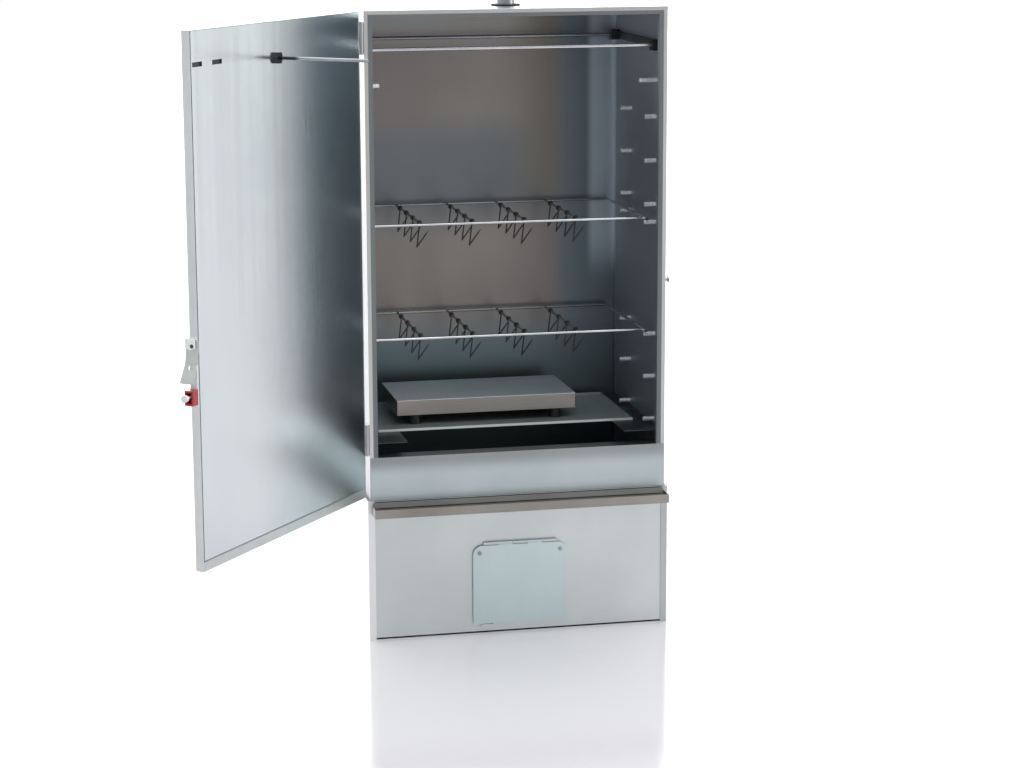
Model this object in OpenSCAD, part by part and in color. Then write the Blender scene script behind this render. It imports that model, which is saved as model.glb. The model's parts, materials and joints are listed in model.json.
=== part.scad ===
// Electric cabinet smoker: a sheet-metal chamber with a side-hinged door on a low base.
// Origin: on the ground, under the middle of the chamber's front. The front faces -Y.
// The door is drawn open, as it stands when the cabinet is loaded.

/* [Chamber] */
// Width of the chamber
body_w = 400; // [398:1:402]
// Depth of the chamber
body_d = 275; // [273:1:280]
// Height of the roof above the ground
body_h = 830; // [828:1:840]
// Thickness of the sheet metal
sheet = 1; // [0.8:0.1:1.2]
// Width of the front flange on each side wall
jamb_w = 11; // [9:1:12]

/* [Base] */
// Height of the base
base_h = 190; // [190:1:192]
// How far the base stands out past the chamber on each side
base_out = 4; // [3.5:0.5:5]
// Height of the top of the sill above the ground
sill_h = 248; // [244:1:250]
// Width of the flap in the base
flap_w = 128; // [120:2:136]

/* [Door] */
// Angle by which the door stands open
door_open = 127.5; // [100:0.1:150]
// Thickness of the door
door_t = 11; // [10.5:0.5:12]
// Height of the door's lower edge above the ground
door_low = 197; // [195:1:202]

/* [Racks] */
// Height of the upper rack
rack_high = 546; // [545:0.5:549]
// Height of the lower rack
rack_low = 394; // [393:0.5:396]
// Distance between two hook rods
rod_pitch = 71; // [66:1:72]

/* [Hidden] */

$fn = 48;
half_w = body_w / 2;
inner_w = half_w - sheet;
base_w = half_w + base_out;
run_gap = 0.06;            // radial gap of a pin that turns in its hole
wall_h = body_h - sheet - base_h;

// Support pins on the side walls
pin_r = 3;
pin_in = 15;
pin_shank_r = 1.6;
pin_step = 58.6;
pin_top = 682;
pin_front_y = 52;
pin_back_y = 178;
rack_r = 2;
rack_drop = rack_r + pin_r + 0.1;      // from a rack's rods down to the pins that carry it
long_pin = [45, 731, 25];              // depth, height and length of the pin nearest the roof
pin_heights = [pin_top, pin_top - pin_step, pin_top - 2 * pin_step, rack_high - rack_drop,
    rack_low - rack_drop, pin_top - 6 * pin_step, pin_top - 7 * pin_step - 0.6];

// Rods under the roof
rod_z = 778;
rod_r = 2.5;
rod_front_y = 33;
rod_back_y = 248;
block_x = 13;
block_half = 6.5;

// Chimney
chimney_y = 74;
chimney_r = 12;
chimney_top = body_h + 62;

// Floor of the chamber and the heater that stands on it
floor_z = 265;
ledge_in = 147;
plate_half = 176;
plate_y = [76, 254];
heater_x = -21;
heater_y = 171;
heater_size = [248, 128, 21];
foot_h = 13.5;
foot_r = 8;
lead_r = 3;
lead_bend = 10;
lead_z = floor_z + sheet + foot_h + 9;

// Base front, drip tray and flap
front_y = -2;              // outer face of the base's front panel
front_top = 170;
tray_z = 173;
tray_h = 11.5;
gutter_z = 180.5;          // floor of the tray's front gutter
tray_lip = 31;
flap_low = 14;
flap_h = 108;
flap_hinge_z = flap_low + flap_h + 2.6;
flap_hinge_y = -5;
flap_barrel_r = 2.2;
flap_pin_r = 1.1;
port = [104, 80];          // opening behind the flap
port_low = 26;
corner_r = 13;
catch_x = -53;             // left end of the lug under the flap's lower edge

// Controls on the back of the base
box_half = 75;
box_y = body_d + 3;
box_depth = 40;
box_z = [15, 175];
inlet = [45, 52];
knob_at = [-38, 118];
switch_at = [42, 118];
rocker_tilt = 7;

// Door, drawn closed and then swung open about its hinge
hinge_x = -half_w - 4;
hinge_y = -2;
hinge_r = 3.2;
hinge_pin_r = 1.8;
hinge_len = 40;
hinge_z = [775, 252];
door_back = -2;            // the door's inner face when it is closed
door_front = door_back - door_t;
thermo_x = 9;
thermo_z = 786;
stem_len = 125;

// Latch on the door's free edge
latch_y = -7.5;
latch_z = 468;
latch_x = half_w + 2;
lever_len = 44;
notch_at = 25;
stud_r = 2.5;
button_r = 1.6;
button_z = 409;

// Hooks
hook_rod_r = 1.5;
cross_bar_r = 1.8;
wire_r = 0.9;
eye_wire_r = 1;
eye_r = hook_rod_r + 0.08 + eye_wire_r;
hook_rows = [for (i = [-1.5:1:1.5]) i * rod_pitch - 10];
hook_ys = [80, 130, 180, 230];
rack_y = [58, 262];
rack_side = 186;

module box(low, high) {
    translate(low) cube(high - low);
}

module both_sides() {
    children();
    mirror([1, 0, 0]) children();
}

module along_x(r, x0, x1, y, z) {
    translate([x0, y, z]) rotate([0, 90, 0]) cylinder(r = r, h = x1 - x0);
}

module along_y(r, y0, y1, x, z) {
    translate([x, y0, z]) rotate([-90, 0, 0]) cylinder(r = r, h = y1 - y0);
}

module upright(r, z0, z1, x, y) {
    translate([x, y, z0]) cylinder(r = r, h = z1 - z0);
}

// Swings a closed-door piece to where the open door holds it
module on_door() {
    translate([hinge_x, hinge_y, 0])
        rotate([0, 0, -door_open])
            translate([-hinge_x, -hinge_y, 0])
                children();
}

module wall_with_flange() {
    difference() {
        union() {
            box([inner_w, 0, base_h], [half_w, body_d, body_h - sheet]);
            box([half_w - jamb_w, 0, sill_h], [half_w, sheet, body_h - sheet]);
            box([half_w - jamb_w, 0, sill_h], [half_w - jamb_w + sheet, 8, body_h - sheet]);
        }
        for (z = pin_heights)
            for (y = [pin_front_y, pin_back_y])
                along_x(pin_shank_r, inner_w - 1, half_w + 1, y, z);
        along_x(pin_shank_r, inner_w - 1, half_w + 1, long_pin[0], long_pin[1]);
    }
}

module left_wall() {
    color("silver") mirror([1, 0, 0]) wall_with_flange();
}

module right_wall() {
    color("silver") wall_with_flange();
}

module back_wall() {
    flange = 12;
    color("silver") difference() {
        union() {
            box([-inner_w, body_d - sheet, base_h], [inner_w, body_d, body_h - sheet]);
            both_sides()
                box([inner_w - sheet, body_d - sheet - flange, base_h],
                    [inner_w, body_d - sheet, body_h - sheet]);
        }
        along_y(lead_r, body_d - 5, body_d + 5, heater_x, lead_z);
    }
}

module roof() {
    front_flange = 10;
    color("silver") difference() {
        union() {
            box([-half_w, 0, body_h - sheet], [half_w, body_d, body_h]);
            box([-half_w + jamb_w, 0, body_h - front_flange],
                [half_w - jamb_w, sheet, body_h - sheet]);
        }
        upright(chimney_r, body_h - 5, body_h + 5, 0, chimney_y);
    }
}

module sill_panel() {
    color("lightsteelblue") {
        box([-inner_w, 0, base_h], [inner_w, sheet, sill_h]);
        box([-inner_w, sheet, sill_h - sheet], [inner_w, 24, sill_h]);
    }
}

module floor_frame() {
    color("gray") difference() {
        box([-inner_w, 12, floor_z - sheet], [inner_w, 260, floor_z]);
        box([-ledge_in, 0, floor_z - 5], [ledge_in, 236, floor_z + 5]);
    }
}

module baffle_plate() {
    rim = 3.5;
    color("dimgray") difference() {
        box([-plate_half, plate_y[0], floor_z], [plate_half, plate_y[1], floor_z + rim]);
        box([-plate_half + sheet, plate_y[0] + sheet, floor_z + sheet],
            [plate_half - sheet, plate_y[1] - sheet, floor_z + 10]);
    }
}

module support_pin(y, z, reach) {
    along_x(pin_r, inner_w - reach, inner_w, y, z);
    along_x(pin_shank_r, inner_w, half_w, y, z);
    along_x(pin_r, half_w, half_w + 1.4, y, z);
}

module rack_pins() {
    color("silver") both_sides() {
        for (z = pin_heights)
            for (y = [pin_front_y, pin_back_y])
                support_pin(y, z, pin_in);
        support_pin(long_pin[0], long_pin[1], long_pin[2]);
    }
}

module side_rails() {
    color("dimgray") both_sides()
        box([inner_w - 5, rod_front_y + block_half, rod_z - 5],
            [inner_w, rod_back_y - block_half, rod_z + 5]);
}

module rod_end_blocks() {
    color("black") both_sides()
        for (y = [rod_front_y, rod_back_y])
            difference() {
                box([inner_w - block_x, y - block_half, rod_z - 7],
                    [inner_w, y + block_half, rod_z + 7]);
                along_x(rod_r, inner_w - block_x - 1, inner_w - 5, y, rod_z);
            }
}

module top_rods() {
    color("silver")
        for (y = [rod_front_y, rod_back_y])
            along_x(rod_r, -inner_w + 5, inner_w - 5, y, rod_z);
}

module chimney_collar() {
    color("black") difference() {
        upright(19, body_h, body_h + 2, 0, chimney_y);
        upright(chimney_r, body_h - 1, body_h + 3, 0, chimney_y);
    }
}

module chimney_pipe() {
    color("silver") difference() {
        union() {
            upright(chimney_r, body_h - 12, chimney_top, 0, chimney_y);
            translate([0, chimney_y, chimney_top - 1])
                rotate_extrude() translate([chimney_r, 0]) circle(r = 1, $fn = 24);
        }
        upright(chimney_r - sheet, body_h - 13, chimney_top + 1, 0, chimney_y);
    }
}

module base_side() {
    box([base_w - sheet, front_y - sheet, 0], [base_w, box_y, base_h]);
    box([base_w - 9, front_y - sheet, 0], [base_w - sheet, front_y, base_h]);
}

module base_left() {
    color("silver") mirror([1, 0, 0]) base_side();
}

module base_right() {
    color("silver") base_side();
}

module base_front() {
    color("lightgray") difference() {
        union() {
            box([-base_w + sheet, front_y, 3], [base_w - sheet, front_y + sheet, front_top]);
            box([-base_w + sheet, front_y + sheet, 3], [base_w - sheet, 10, 3 + sheet]);
            box([catch_x, front_y - 4.5, flap_low - 1.5], [catch_x + 16, front_y, flap_low - 0.5]);
            box([catch_x, front_y - 4.5, flap_low - 5], [catch_x + 16, front_y - 3.5, flap_low - 1.5]);
        }
        box([-port[0] / 2, front_y - 1, port_low], [port[0] / 2, 1, port_low + port[1]]);
    }
}

module base_back() {
    color("silver") difference() {
        box([-base_w + sheet, box_y - sheet, sheet],
            [base_w - sheet, box_y, base_h - sheet]);
        for (x = [-30, 30])
            along_y(4, box_y - 5, box_y + 5, x, 32);
    }
}

module base_bottom() {
    color("silver")
        box([-base_w + sheet, front_y, 0], [base_w - sheet, box_y, sheet]);
}

module base_top() {
    color("silver") difference() {
        box([-base_w + sheet, front_y, base_h - sheet], [base_w - sheet, box_y, base_h]);
        box([-150, 20, base_h - 5], [150, 240, base_h + 5]);
    }
}

module tray_rails() {
    top = tray_z - 0.1;
    color("silver") both_sides() {
        box([186, 2, top - sheet], [base_w - sheet, 200, top]);
        box([base_w - 2 * sheet, 2, top - 15], [base_w - sheet, 200, top - sheet]);
    }
}

module chip_pan() {
    low = 44;
    color("dimgray") {
        difference() {
            box([-60, 30, low], [60, 150, low + 30]);
            box([-59, 31, low + 1], [59, 149, low + 31]);
        }
        for (x = [-60, 52])
            for (y = [30, 142])
                box([x, y, sheet], [x + 8, y + 8, low]);
    }
}

module chip_heater() {
    bend = 30;
    color("darkslategray") {
        translate([0, 70, 32])
            rotate([0, 0, 180])
                rotate_extrude(angle = 180) translate([bend, 0]) circle(r = 4, $fn = 32);
        for (x = [-bend, bend])
            along_y(4, 70, box_y + 6, x, 32);
    }
}

module heater_housing() {
    low = floor_z + sheet + foot_h;
    x = heater_size[0] / 2;
    y = heater_size[1] / 2;
    color("gray") translate([heater_x, heater_y, low]) difference() {
        box([-x, -y, 0], [x, y, heater_size[2]]);
        box([-x + 1, -y + 1, -1], [x - 1, y - 1, heater_size[2] - 1]);
        along_y(lead_r, y - 3, y + 3, 0, 9);
    }
}

module heater_element() {
    leg = 72;
    run = 12;
    z = floor_z + sheet + foot_h + heater_size[2] - sheet - 3.6;
    color("darkslategray") translate([heater_x, heater_y, z]) {
        for (i = [-2:2])
            translate([-leg, i * 2 * run, 0]) along_x(3.5, 0, 2 * leg, 0, 0);
        for (i = [-2:1])
            translate([(i % 2 == 0) ? leg : -leg, (2 * i + 1) * run, 0])
                rotate([0, 0, (i % 2 == 0) ? -90 : 90])
                    rotate_extrude(angle = 180) translate([run, 0]) circle(r = 3.5, $fn = 32);
    }
}

module heater_feet() {
    color("black")
        for (x = [-98, 98])
            for (y = [-52, 52])
                translate([heater_x + x, heater_y + y, floor_z + sheet])
                    cylinder(r = foot_r, h = foot_h);
    color("black")
        for (x = [-98, 98])
            for (y = [-52, 52])
                translate([heater_x + x, heater_y + y, floor_z + sheet + foot_h])
                    cylinder(r = foot_r - 2, h = heater_size[2] - 1);
}

module heater_lead() {
    start = heater_y + heater_size[1] / 2 - 12;
    end = body_d + 7;
    color("black") {
        along_y(lead_r, start, end, heater_x, lead_z);
        translate([heater_x, end, lead_z - lead_bend])
            rotate([90, 0, 90])
                rotate_extrude(angle = 90) translate([lead_bend, 0]) circle(r = lead_r, $fn = 32);
        upright(lead_r, box_z[1] - 6, lead_z - lead_bend, heater_x, end + lead_bend);
    }
}

module control_box() {
    wall = 1.5;
    back = box_y + box_depth;
    color("dimgray") difference() {
        box([-box_half, box_y, box_z[0]], [box_half, back, box_z[1]]);
        box([-box_half + wall, box_y - 1, box_z[0] + wall],
            [box_half - wall, back - wall, box_z[1] - wall]);
        box([inlet[0] - 14, back - 5, inlet[1] - 11], [inlet[0] + 14, back + 5, inlet[1] + 11]);
        box([switch_at[0] - 14, back - 5, switch_at[1] - 10],
            [switch_at[0] + 14, back + 5, switch_at[1] + 10]);
        along_y(4, back - 5, back + 5, knob_at[0], knob_at[1]);
        upright(lead_r, box_z[1] - 5, box_z[1] + 5, heater_x, body_d + 7 + lead_bend);
    }
}

module power_inlet() {
    back = box_y + box_depth;
    color("black") translate([inlet[0], back, inlet[1]]) {
        difference() {
            union() {
                box([-14, -18, -11], [14, 0, 11]);
                box([-20, 0, -12], [20, 2, 12]);
            }
            box([-12, -15, -8.5], [12, 3, 8.5]);
        }
        for (x = [-7, 0, 7])
            box([x - 1, -15, (x == 0) ? 0 : -4], [x + 1, -3, (x == 0) ? 4 : 0]);
    }
}

module thermostat_body() {
    back = box_y + box_depth;
    color("white") {
        box([knob_at[0] - 20, back - 28, knob_at[1] - 18],
            [knob_at[0] + 20, back - 1.5, knob_at[1] + 18]);
        along_y(3, back - 1.5, back + 12, knob_at[0], knob_at[1]);
    }
}

module thermostat_knob() {
    back = box_y + box_depth;
    color("black") difference() {
        union() {
            along_y(18, back + 1, back + 5, knob_at[0], knob_at[1]);
            along_y(14, back + 5, back + 17, knob_at[0], knob_at[1]);
            translate([knob_at[0], back + 5, knob_at[1]]) box([-2, 0, 9], [2, 14, 14.5]);
        }
        along_y(3 + run_gap, back, back + 13, knob_at[0], knob_at[1]);
    }
}

module switch_frame() {
    back = box_y + box_depth;
    color("black") translate([switch_at[0], back, switch_at[1]]) {
        difference() {
            union() {
                box([-14, -14, -10], [14, 0, 10]);
                box([-16.5, 0, -12.5], [16.5, 2, 12.5]);
            }
            box([-11, -11, -8], [11, 3, 8]);
            along_x(1.2 + run_gap, -13, 13, 0, 0);
        }
    }
}

module switch_rocker() {
    back = box_y + box_depth;
    color("firebrick") translate([switch_at[0], back, switch_at[1]])
        rotate([-rocker_tilt, 0, 0]) {
            difference() {
                box([-10.4, -4, -6.5], [10.4, 3.2, 6.5]);
                along_x(30, -11, 11, 32, 0);
            }
            along_x(1.2, -12.8, 12.8, 0, 0);
        }
}

// One hinge knuckle pattern: the body holds the ends and the door holds the middle
module knuckles(low, parts) {
    step = hinge_len / 3;
    for (i = parts)
        upright(hinge_r, low + i * step + 0.2, low + (i + 1) * step - 0.2, hinge_x, hinge_y);
}

module body_hinge_leaves() {
    step = hinge_len / 3;
    color("silver")
        for (low = hinge_z)
            difference() {
                union() {
                    box([-half_w - 1.2, 1.8, low], [-half_w, 24, low + hinge_len]);
                    knuckles(low, [0, 2]);
                    for (i = [0, 2])
                        box([-half_w - 2.4, hinge_y, low + i * step + 0.2],
                            [-half_w - 1.2, 3, low + (i + 1) * step - 0.2]);
                }
                upright(hinge_pin_r, low - 1, low + hinge_len + 1, hinge_x, hinge_y);
            }
}

module door_hinge_leaves() {
    step = hinge_len / 3;
    color("silver") on_door()
        for (low = hinge_z)
            difference() {
                union() {
                    box([-half_w - 1.2, door_front + 1, low], [-half_w, -5.8, low + hinge_len]);
                    knuckles(low, [1]);
                    box([-half_w - 2.4, -6.5, low + step + 0.2],
                        [-half_w - 1.2, hinge_y, low + 2 * step - 0.2]);
                }
                upright(hinge_pin_r + run_gap, low - 1, low + hinge_len + 1, hinge_x, hinge_y);
            }
}

module hinge_pins() {
    color("gray")
        for (low = hinge_z) {
            upright(hinge_pin_r, low, low + hinge_len, hinge_x, hinge_y);
            upright(hinge_r - 0.4, low + hinge_len, low + hinge_len + 1.5, hinge_x, hinge_y);
        }
}

module latch_keeper() {
    y = latch_y + notch_at;
    color("silver") {
        box([half_w, y - 8, latch_z - 10], [half_w + 1.2, y + 8, latch_z + 10]);
        along_x(stud_r, half_w + 1.2, latch_x + 5.5, y, latch_z);
        along_x(stud_r + 1.8, latch_x + 5.5, latch_x + 7, y, latch_z);
    }
}

module flap_knuckles(parts) {
    step = 20;
    for (i = parts)
        along_x(flap_barrel_r, i * step - 50 + 0.2, (i + 1) * step - 50 - 0.2,
            flap_hinge_y, flap_hinge_z);
}

module flap_leaf() {
    step = 20;
    color("silver") difference() {
        union() {
            box([-50, front_y - 0.8, flap_hinge_z - 14], [50, front_y, flap_hinge_z - 2.4]);
            flap_knuckles([0, 2, 4]);
            for (i = [0, 2, 4])
                box([i * step - 49.8, flap_hinge_y, flap_hinge_z - 2.4],
                    [i * step - 30.2, front_y, flap_hinge_z - 1.2]);
        }
        along_x(flap_pin_r, -55, 55, flap_hinge_y, flap_hinge_z);
    }
}

module flap_pin() {
    color("gray") along_x(flap_pin_r, -50, 50, flap_hinge_y, flap_hinge_z);
}

module flap_outline() {
    hull() {
        for (s = [-1, 1])
            translate([s * (flap_w / 2 - corner_r), flap_low + flap_h - corner_r])
                circle(r = corner_r, $fn = 32);
        for (s = [-1, 1])
            translate([s * (flap_w / 2 - 2), flap_low + 2]) circle(r = 2, $fn = 16);
    }
}

module flap() {
    step = 20;
    face_y = flap_hinge_y - 0.6;
    color("lightsteelblue") difference() {
        union() {
            translate([0, face_y + sheet, 0])
                rotate([90, 0, 0]) linear_extrude(sheet) flap_outline();
            flap_knuckles([1, 3]);
            for (i = [1, 3])
                box([i * step - 49.8, face_y, flap_low + flap_h - 3],
                    [i * step - 30.2, face_y + sheet, flap_hinge_z]);
        }
        for (i = [0, 2, 4])
            box([i * step - 50.2, flap_hinge_y - 4, flap_hinge_z - 2.8],
                [i * step - 29.8, 0, flap_hinge_z + 4]);
        along_x(flap_pin_r + run_gap, -55, 55, flap_hinge_y, flap_hinge_z);
    }
}

module flap_screws() {
    face_y = flap_hinge_y - 0.6;
    color("gray")
        for (x = [-flap_w / 2 + 9, flap_w / 2 - 9])
            along_y(3, face_y - 1.4, face_y, x, flap_low + flap_h - 10);
}

module wall_rivets() {
    rivet_y = body_d - sheet - 6;
    count = 7;
    color("silver") both_sides()
        for (i = [0:count - 1])
            translate([half_w, rivet_y, base_h + 30 + i * (wall_h - 60) / (count - 1)])
                rotate([0, 90, 0]) cylinder(r = 2.6, h = 1.1);
}

module door_skin() {
    hem = 12;
    color("silver") on_door() difference() {
        union() {
            box([-half_w, door_front, door_low], [half_w, door_front + sheet, body_h]);
            both_sides()
                box([inner_w, door_front, door_low], [half_w, door_back, body_h]);
            box([-half_w, door_front, body_h - sheet], [half_w, door_back, body_h]);
            box([-half_w, door_front, door_low], [half_w, door_back, door_low + sheet]);
            box([-half_w, door_back - sheet, door_low], [half_w, door_back, door_low + hem]);
        }
        along_y(4, door_front - 1, door_back + 1, thermo_x, thermo_z);
    }
}

module door_liner() {
    color("whitesmoke") on_door() difference() {
        box([-inner_w, door_back - sheet, door_low + 13], [inner_w, door_back, body_h - sheet]);
        for (x = [142, 185])
            box([x - 10.5, door_back - 3, thermo_z + 2], [x + 10.5, door_back + 1, thermo_z + 7.5]);
        along_y(4, door_front - 1, door_back + 1, thermo_x, thermo_z);
    }
}

module thermo_case() {
    color("silver") on_door() difference() {
        union() {
            along_y(30, door_front - 16, door_front - 2, thermo_x, thermo_z);
            along_y(9, door_front - 2, door_front, thermo_x, thermo_z);
            translate([thermo_x, door_front - 15, thermo_z])
                rotate([90, 0, 0]) rotate_extrude() translate([30, 0]) circle(r = 1.6, $fn = 24);
        }
        along_y(27, door_front - 20, door_front - 8, thermo_x, thermo_z);
        along_y(4, door_front - 9, door_front + 1, thermo_x, thermo_z);
    }
}

module thermo_probe() {
    color("gray") on_door() {
        along_y(4, door_front - 7, door_back, thermo_x, thermo_z);
        translate([thermo_x, door_back, thermo_z])
            rotate([-90, 0, 0]) cylinder(r = 7.5, h = 6, $fn = 6);
        along_y(2, door_back + 6, door_back + stem_len, thermo_x, thermo_z);
    }
}

module latch_plate() {
    color("whitesmoke") on_door() {
        box([half_w, latch_y - 5, 396], [latch_x, latch_y + 5, latch_z + 10]);
        along_x(2.5, latch_x, latch_x + 5, latch_y, latch_z);
        along_x(4.2, latch_x + 5, latch_x + 6.5, latch_y, latch_z);
    }
}

// The red block is hollow on its outer side, and the spring button stands in the hollow
module latch_block() {
    color("red") on_door() difference() {
        box([latch_x, latch_y - 5.5, 399], [latch_x + 12, latch_y + 5.5, 417]);
        box([latch_x + 4, latch_y - 3.8, 401.5], [latch_x + 13, latch_y + 3.8, 414.5]);
        along_x(button_r + run_gap, latch_x + 0.3, latch_x + 5, latch_y, button_z);
    }
}

module latch_button() {
    color("whitesmoke") on_door() {
        along_x(button_r, latch_x + 3.5, latch_x + 19, latch_y, button_z);
        along_x(4.2, latch_x + 18, latch_x + 22, latch_y, button_z);
    }
}

// The lever hangs from its pin, and its lower half is stepped out for the fingers
module latch_lever() {
    step_z = latch_z - 30;
    low = latch_x + 0.6;
    half = 9;
    color("lightgray") on_door() difference() {
        union() {
            along_x(half, low, low + 3.6, latch_y, latch_z);
            box([low, latch_y - half, step_z], [low + 3.6, latch_y + half, latch_z]);
            box([low, latch_y - half, step_z - 3], [low + 11, latch_y + half, step_z]);
            box([low + 8, latch_y - half, latch_z - lever_len], [low + 11, latch_y + half, step_z]);
        }
        along_x(2.5 + run_gap, low - 1, low + 5, latch_y, latch_z);
        translate([0, latch_y, latch_z - notch_at]) {
            along_x(stud_r + 0.4, low - 1, low + 5, 0, 0);
            box([low - 1, 0, -stud_r - 0.4], [low + 5, 10, stud_r + 0.4]);
        }
    }
}

// A flat pan whose front is a shallow gutter, folded up from a hollow ledge
module drip_tray() {
    front = -tray_lip;
    neck = front_y - 1.6;
    wide = inner_w;
    body = 191;
    top = tray_z + tray_h;
    color("dimgray") {
        difference() {
            union() {
                box([-wide, front, tray_z], [wide, neck, top]);
                box([-body, neck, tray_z], [body, 190, top]);
            }
            box([-wide + sheet, front + sheet, gutter_z], [wide - sheet, neck - sheet, top + 1]);
            box([-wide + sheet, front + sheet, tray_z - 1],
                [wide - sheet, neck - sheet, gutter_z - sheet]);
            box([-body + sheet, neck - 2 * sheet, gutter_z], [body - sheet, neck + 1, top + 1]);
            box([-body + sheet, neck, tray_z + sheet], [body - sheet, 190 - sheet, top + 1]);
        }
    }
}

module rack(z) {
    for (s = [-1, 1])
        along_y(rack_r, 46, 270, s * rack_side, z);
    for (y = rack_y)
        along_x(cross_bar_r, -rack_side, rack_side, y, z);
    for (x = hook_rows)
        along_y(hook_rod_r, rack_y[0], rack_y[1], x, z);
}

module upper_rack() {
    color("silver") rack(rack_high);
}

module lower_rack() {
    color("silver") rack(rack_low);
}

// A wire from one point to another in the hook's own plane, seen from the front
module wire(from, to) {
    run = to[0] - from[0];
    rise = to[1] - from[1];
    translate([from[0], 0, from[1]])
        rotate([0, atan2(run, rise), 0])
            cylinder(r = wire_r, h = norm([run, rise]), $fn = 24);
}

// A V-shaped hook whose eye turns on its rod
module hook() {
    apex = [-3.5, -32];
    tip = [9, -15];
    lean = atan2(tip[0] - apex[0], tip[1] - apex[1]);
    rotate([90, 0, 0])
        rotate_extrude($fn = 36) translate([eye_r, 0]) circle(r = eye_wire_r, $fn = 24);
    wire([0, -eye_r], apex);
    translate([apex[0], 0, apex[1]]) sphere(r = wire_r + 0.2, $fn = 24);
    wire(apex, tip);
    translate([tip[0], 0, tip[1]])
        rotate([0, lean, 0])
            translate([0, 0, -1]) cylinder(r1 = wire_r - 0.1, r2 = 0.2, h = 6, $fn = 24);
}

module hooks(row, z) {
    color("dimgray")
        for (y = hook_ys)
            translate([hook_rows[row - 1], y, z]) hook();
}

left_wall();
right_wall();
back_wall();
roof();
sill_panel();
floor_frame();
baffle_plate();
rack_pins();
side_rails();
rod_end_blocks();
top_rods();
chimney_collar();
chimney_pipe();
base_left();
base_right();
base_front();
base_back();
base_bottom();
base_top();
tray_rails();
chip_pan();
chip_heater();
heater_housing();
heater_element();
heater_feet();
heater_lead();
control_box();
power_inlet();
thermostat_body();
switch_frame();
body_hinge_leaves();
hinge_pins();
latch_keeper();
flap_leaf();
flap_pin();
wall_rivets();
door_skin();
door_liner();
door_hinge_leaves();
thermo_case();
thermo_probe();
latch_plate();
latch_block();
latch_lever();
latch_button();
drip_tray();
flap();
flap_screws();
thermostat_knob();
switch_rocker();
upper_rack();
lower_rack();
hooks(1, rack_high);  // upper_hooks_1
hooks(2, rack_high);  // upper_hooks_2
hooks(3, rack_high);  // upper_hooks_3
hooks(4, rack_high);  // upper_hooks_4
hooks(1, rack_low);  // lower_hooks_1
hooks(2, rack_low);  // lower_hooks_2
hooks(3, rack_low);  // lower_hooks_3
hooks(4, rack_low);  // lower_hooks_4
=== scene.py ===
import json
import math

import bmesh
import bpy
from mathutils import Matrix, Vector


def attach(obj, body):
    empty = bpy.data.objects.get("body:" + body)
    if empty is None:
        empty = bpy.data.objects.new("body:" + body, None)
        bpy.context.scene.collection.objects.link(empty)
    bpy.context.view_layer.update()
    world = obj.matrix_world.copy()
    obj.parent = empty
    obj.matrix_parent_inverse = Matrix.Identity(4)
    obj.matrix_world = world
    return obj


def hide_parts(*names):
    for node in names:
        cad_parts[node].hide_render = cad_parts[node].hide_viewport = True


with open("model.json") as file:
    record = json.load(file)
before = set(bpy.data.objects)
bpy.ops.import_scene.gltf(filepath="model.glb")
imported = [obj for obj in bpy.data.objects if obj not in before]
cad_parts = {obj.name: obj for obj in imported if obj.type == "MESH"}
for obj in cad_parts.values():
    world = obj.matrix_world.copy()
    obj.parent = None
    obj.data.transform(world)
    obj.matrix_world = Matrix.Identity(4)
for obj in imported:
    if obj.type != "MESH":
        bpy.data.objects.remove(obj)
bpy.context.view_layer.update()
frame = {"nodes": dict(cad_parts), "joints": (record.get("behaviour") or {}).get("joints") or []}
nodes = frame["nodes"]
joints = {j["name"]: j for j in frame["joints"]}
MM = 0.001


# ---------------------------------------------------------------- camera
def place_camera(target, azimuth, elevation, roll, distance, lens):
    """A camera that looks at the target, from angles in degrees and a distance in metres."""
    a, e, r = (math.radians(v) for v in (azimuth, elevation, roll))
    back = Vector((math.sin(a) * math.cos(e), -math.cos(a) * math.cos(e), math.sin(e)))
    side = Vector((math.cos(a), math.sin(a), 0))
    up = back.cross(side)
    right = side * math.cos(r) + up * math.sin(r)
    up = up * math.cos(r) - side * math.sin(r)
    data = bpy.data.cameras.new("camera")
    data.lens = lens
    data.sensor_width = 36
    camera = bpy.data.objects.new("camera", data)
    bpy.context.scene.collection.objects.link(camera)
    turn = Matrix((right, up, back)).transposed().to_4x4()
    camera.matrix_world = Matrix.Translation(Vector(target) + back * distance) @ turn
    bpy.context.scene.camera = camera


place_camera(
    target=(-0.009, 0, 0.3388),
    azimuth=-12.2,
    elevation=11.5,
    roll=-0.2,
    distance=3.4144,
    lens=90.94,
)


# ---------------------------------------------------------------- materials
def srgb(code):
    """A colour from its usual hex code, as linear numbers."""
    values = [int(code[i : i + 2], 16) / 255 for i in (0, 2, 4)]
    line = [v / 12.92 if v <= 0.04045 else ((v + 0.055) / 1.055) ** 2.4 for v in values]
    return (*line, 1)


def ramp(tree, value, start, end, low=0.0, high=1.0, smooth=True):
    """Takes a value's range from start to end to the range from low to high."""
    node = tree.nodes.new("ShaderNodeMapRange")
    node.interpolation_type = "SMOOTHSTEP" if smooth else "LINEAR"
    tree.links.new(value, node.inputs["Value"])
    numbers = {"From Min": start, "From Max": end, "To Min": low, "To Max": high}
    for key, number in numbers.items():
        node.inputs[key].default_value = number
    return node.outputs["Result"]


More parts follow.
